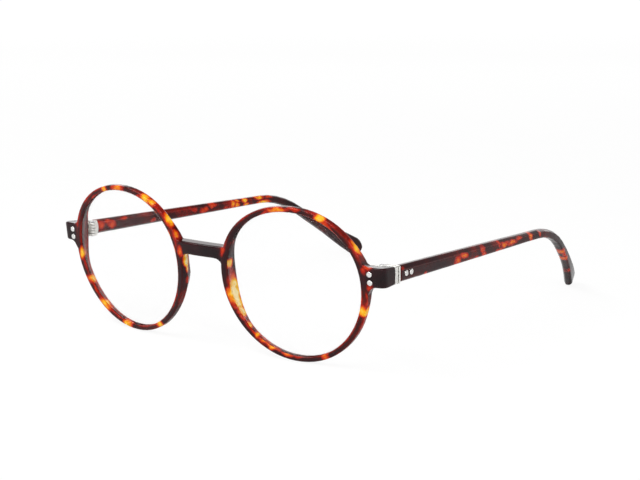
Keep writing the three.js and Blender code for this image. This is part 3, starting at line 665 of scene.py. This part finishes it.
def tone_temple(obj, side):
    points = local_points(obj.data, hinge_frame_matrix(side))
    moved = wander(points, **TEMPLE_WANDER[side])
    out = moved[:, 0] * SIDES[side]
    along, up = unbent(moved[:, 1], moved[:, 2])
    dark = np.clip((along - HOOK_DARK_START) / HOOK_DARK_BLEND, 0, 1)
    level = TEMPLE_LEVEL[side] - HOOK_LESS * dark
    tone = background_tone(points + TEMPLE_CLOUD_SHIFT, level)
    hooked = np.maximum(along - TEMPLE_STRAIGHT, 0) / (TEMPLE_LENGTH - TEMPLE_STRAIGHT)
    curl = HOOK_CURL * hooked ** 2
    axes = (along, up, (out - TEMPLE_INNER + curl) / TEMPLE_THICKNESS)
    set_tone(obj.data, np.maximum(tone, tone_from(TEMPLE_PATCHES[side], axes)))


# Rivet: a turned piece with a rounded head and a shallow dimple left by the setting tool.
# Shares of the head's radius at which its dome is drawn, and the dome's and the dimple's shape.
RIVET_SHARES = (0.0, 0.16, 0.30, 0.36, 0.44, 0.60, 0.76, 0.88, 0.96, 1.0)
RIVET_TURNS = 40
DOME_POWER = 2.6
DIMPLE_SHARE = 0.34
DIMPLE_DEPTH = 0.22
# Under the head: its bevel as a share of its radius and in millimetres, and the shank's end
HEAD_BEVEL_SHARE = 0.97
HEAD_BEVEL = 0.04
SHANK_END_SHARE = 0.9
SHANK_END_BEVEL = 0.05
RIVET_SHARP_ANGLE = math.radians(40)
# Corners of the solid past this share of the head's radius are its rim, and corners within this
# distance in metres of the far end are the shank's end
HEAD_RIM_SHARE = 0.99
END_DISTANCE = 1e-6


def rivet_profile(head, height):
    profile = []
    for share in RIVET_SHARES:
        rise = height * math.sqrt(max(0.0, 1 - share ** DOME_POWER))
        if share < DIMPLE_SHARE:
            dimple = height * DIMPLE_DEPTH
            rise -= dimple * math.cos(share / DIMPLE_SHARE * math.pi / 2)
        profile.append((share * head, -rise))
    return profile


def make_rivet(node):
    measured = welded_copy(node, "measured")
    points = np.array([v.co for v in measured.vertices])
    bpy.data.meshes.remove(measured)
    centre = points.mean(0)
    away = points - centre
    _, _, basis = np.linalg.svd(away, full_matrices=False)
    axis = basis[0]
    along = away @ axis
    radius = np.linalg.norm(away - np.outer(along, axis), axis=1)
    if along[radius.argmax()] > 0:
        axis, along = -axis, -along
    head = radius.max()
    seat = along[radius > head * HEAD_RIM_SHARE].max()
    height = seat - along.min()
    end = along.max()
    shank = radius[along > end - END_DISTANCE].max()
    under = seat + HEAD_BEVEL * MM
    profile = [(r, seat + rise) for r, rise in rivet_profile(head, height)]
    profile += [(head * HEAD_BEVEL_SHARE, under), (shank, under)]
    profile += [(shank, end - SHANK_END_BEVEL * MM), (shank * SHANK_END_SHARE, end), (0.0, end)]
    mesh = bpy.data.meshes.new(node + "_turned")
    work = bmesh.new()
    rings = []
    for r, z in profile:
        if r == 0:
            rings.append([work.verts.new((0, 0, z))])
        else:
            turns = [2 * math.pi * k / RIVET_TURNS for k in range(RIVET_TURNS)]
            rings.append([work.verts.new((r * math.cos(t), r * math.sin(t), z)) for t in turns])
    for a, b in zip(rings, rings[1:]):
        for k in range(RIVET_TURNS):
            n = (k + 1) % RIVET_TURNS
            if len(a) == 1:
                work.faces.new((a[0], b[n], b[k]))
            elif len(b) == 1:
                work.faces.new((a[k], a[n], b[0]))
            else:
                work.faces.new((a[k], a[n], b[n], b[k]))
    bmesh.ops.recalc_face_normals(work, faces=work.faces)
    work.to_mesh(mesh)
    work.free()
    turn = Vector((0, 0, 1)).rotation_difference(Vector(axis)).to_matrix().to_4x4()
    mesh.transform(Matrix.Translation(Vector(centre)) @ turn)
    shade_smooth(mesh)
    mesh.set_sharp_from_angle(angle=RIVET_SHARP_ANGLE)
    return link(node + "_turned", mesh)


# Lens: its faces look along the rim's axis, and what looks further away from it is the edge
LENS_SHARP_ANGLE = math.radians(30)
LENS_FACE_ON = 0.8


def make_clear_lens(side):
    node, name = f"lens_{side}", f"lens_{side}_clear"
    lens = link(name, welded_copy(node, name))
    shade_smooth(lens.data)
    lens.data.set_sharp_from_angle(angle=LENS_SHARP_ANGLE)
    dress(lens, node, lens_clear)
    lens.data.materials.append(lens_edge)
    axis = Vector((-SIDES[side] * math.sin(WRAP), math.cos(WRAP), 0))
    face_on = (front_frame_matrix.to_3x3() @ axis).normalized()
    for face in lens.data.polygons:
        face.material_index = int(abs(face.normal.dot(face_on)) < LENS_FACE_ON)


# Pieces
front = polished("front_frame", "front_polished", FRONT_FINISH)
tone_front(front)
dress(front, "front_frame", acetate)
for side in SIDES:
    temple = polished(f"temple_{side}", f"temple_{side}_polished", TEMPLE_FINISH)
    tone_temple(temple, side)
    dress(temple, f"temple_{side}", acetate)
    for node in (f"front_hinge_{side}", f"temple_hinge_{side}"):
        dress(polished(node, node + "_finished", HINGE_FINISH), node, plate_metal)
    screw = f"hinge_screw_{side}"
    dress(polished(screw, screw + "_finished", SCREW_FINISH), screw, screw_metal)
    for node in (f"front_rivet_upper_{side}", f"front_rivet_lower_{side}",
                 f"temple_rivet_front_{side}", f"temple_rivet_rear_{side}"):
        dress(make_rivet(node), node, rivet_metal)
    make_clear_lens(side)
    core = nodes[f"temple_core_{side}"]
    core.data.materials.clear()
    core.data.materials.append(screw_metal)


# Studio: a pale floor, a white surround that darkens overhead in reflections, and three soft
# lamps. Sizes in metres and energies in watts.
FLOOR_SIZE = 60.0
FLOOR_BELOW = 0.0002
FLOOR_GLOW = 1.03
SURROUND_LIGHT = 0.42
LAMP_TARGET = (0, 0, 0.02)
LAMPS = {
    "lamp_key": {"place": (-0.18, -0.5, 0.78), "size": (1.15, 0.18), "energy": 5.6},
    "lamp_fill": {"place": (0.75, -0.45, 0.45), "size": (0.45, 0.45), "energy": 2.6},
    "lamp_back": {"place": (-0.45, 0.82, 0.34), "size": (1.1, 0.3), "energy": 0.9},
}


# The floor glows towards the camera, fully white far away, so only the object's shadow shows
def make_floor():
    bpy.ops.mesh.primitive_plane_add(size=FLOOR_SIZE, location=(0, 0, -FLOOR_BELOW))
    floor = bpy.context.object
    floor.name = "floor"
    material, tree, shader = new_material("floor_pale")
    coords = add(tree, "ShaderNodeTexCoord").outputs["Object"]
    grain = noise_node(tree, coords, scale=40.0).outputs["Fac"]
    pale = ramp(tree, grain, ((0.3, (0.82, 0.82, 0.82)), (0.7, (0.85, 0.85, 0.85))))
    tree.links.new(pale, shader.inputs["Base Color"])
    shader.inputs["Roughness"].default_value = 0.9
    shader.inputs["Specular IOR Level"].default_value = 0.0
    glow = add(tree, "ShaderNodeEmission")
    glow.inputs["Strength"].default_value = FLOOR_GLOW
    _, seen = add_seen(tree)
    away = add(tree, "ShaderNodeVectorMath", operation="LENGTH")
    tree.links.new(coords, away.inputs[0])
    far = scaled(tree, away.outputs["Value"], low=0.88, high=1.0, from_low=0.3, from_high=2.0)
    part = add(tree, "ShaderNodeMath", operation="MULTIPLY")
    tree.links.new(seen, part.inputs[0])
    tree.links.new(far, part.inputs[1])
    mix = add(tree, "ShaderNodeMixShader")
    tree.links.new(part.outputs["Value"], mix.inputs["Fac"])
    tree.links.new(shader.outputs["BSDF"], mix.inputs[1])
    tree.links.new(glow.outputs["Emission"], mix.inputs[2])
    tree.links.new(mix.outputs["Shader"], tree.nodes["Material Output"].inputs["Surface"])
    floor.data.materials.append(material)


def make_world():
    world = bpy.data.worlds.new("surround")
    bpy.context.scene.world = world
    world.use_nodes = True
    tree = world.node_tree
    background = tree.nodes["Background"]
    background.inputs["Color"].default_value = (1, 1, 1, 1)
    path, seen = add_seen(tree)
    direction = add(tree, "ShaderNodeTexCoord").outputs["Generated"]
    split = add(tree, "ShaderNodeSeparateXYZ")
    tree.links.new(direction, split.inputs["Vector"])
    sky = ramp(tree, split.outputs["Z"], (
        (0.0, (1.0, 1.0, 1.0)),
        (0.34, (1.0, 1.0, 1.0)),
        (0.52, (0.25, 0.25, 0.25)),
        (0.80, (0.25, 0.25, 0.25)),
        (1.0, (0.6, 0.6, 0.6)),
    ))
    shiny = add(tree, "ShaderNodeMix", data_type="FLOAT")
    tree.links.new(path.outputs["Is Glossy Ray"], shiny.inputs["Factor"])
    shiny.inputs["A"].default_value = SURROUND_LIGHT
    tree.links.new(sky, shiny.inputs["B"])
    level = add(tree, "ShaderNodeMath", operation="MAXIMUM")
    tree.links.new(seen, level.inputs[0])
    tree.links.new(shiny.outputs["Result"], level.inputs[1])
    tree.links.new(level.outputs["Value"], background.inputs["Strength"])


def make_lamp(name, place, size, energy):
    data = bpy.data.lights.new(name, "AREA")
    data.shape = "RECTANGLE"
    data.size, data.size_y = size
    data.energy = energy
    lamp = bpy.data.objects.new(name, data)
    lamp.location = place
    aim = Vector(LAMP_TARGET) - Vector(place)
    lamp.rotation_euler = aim.to_track_quat("-Z", "Y").to_euler()
    bpy.context.scene.collection.objects.link(lamp)


make_floor()
make_world()
for name, lamp in LAMPS.items():
    make_lamp(name, **lamp)

bpy.context.scene.view_settings.view_transform = "Standard"
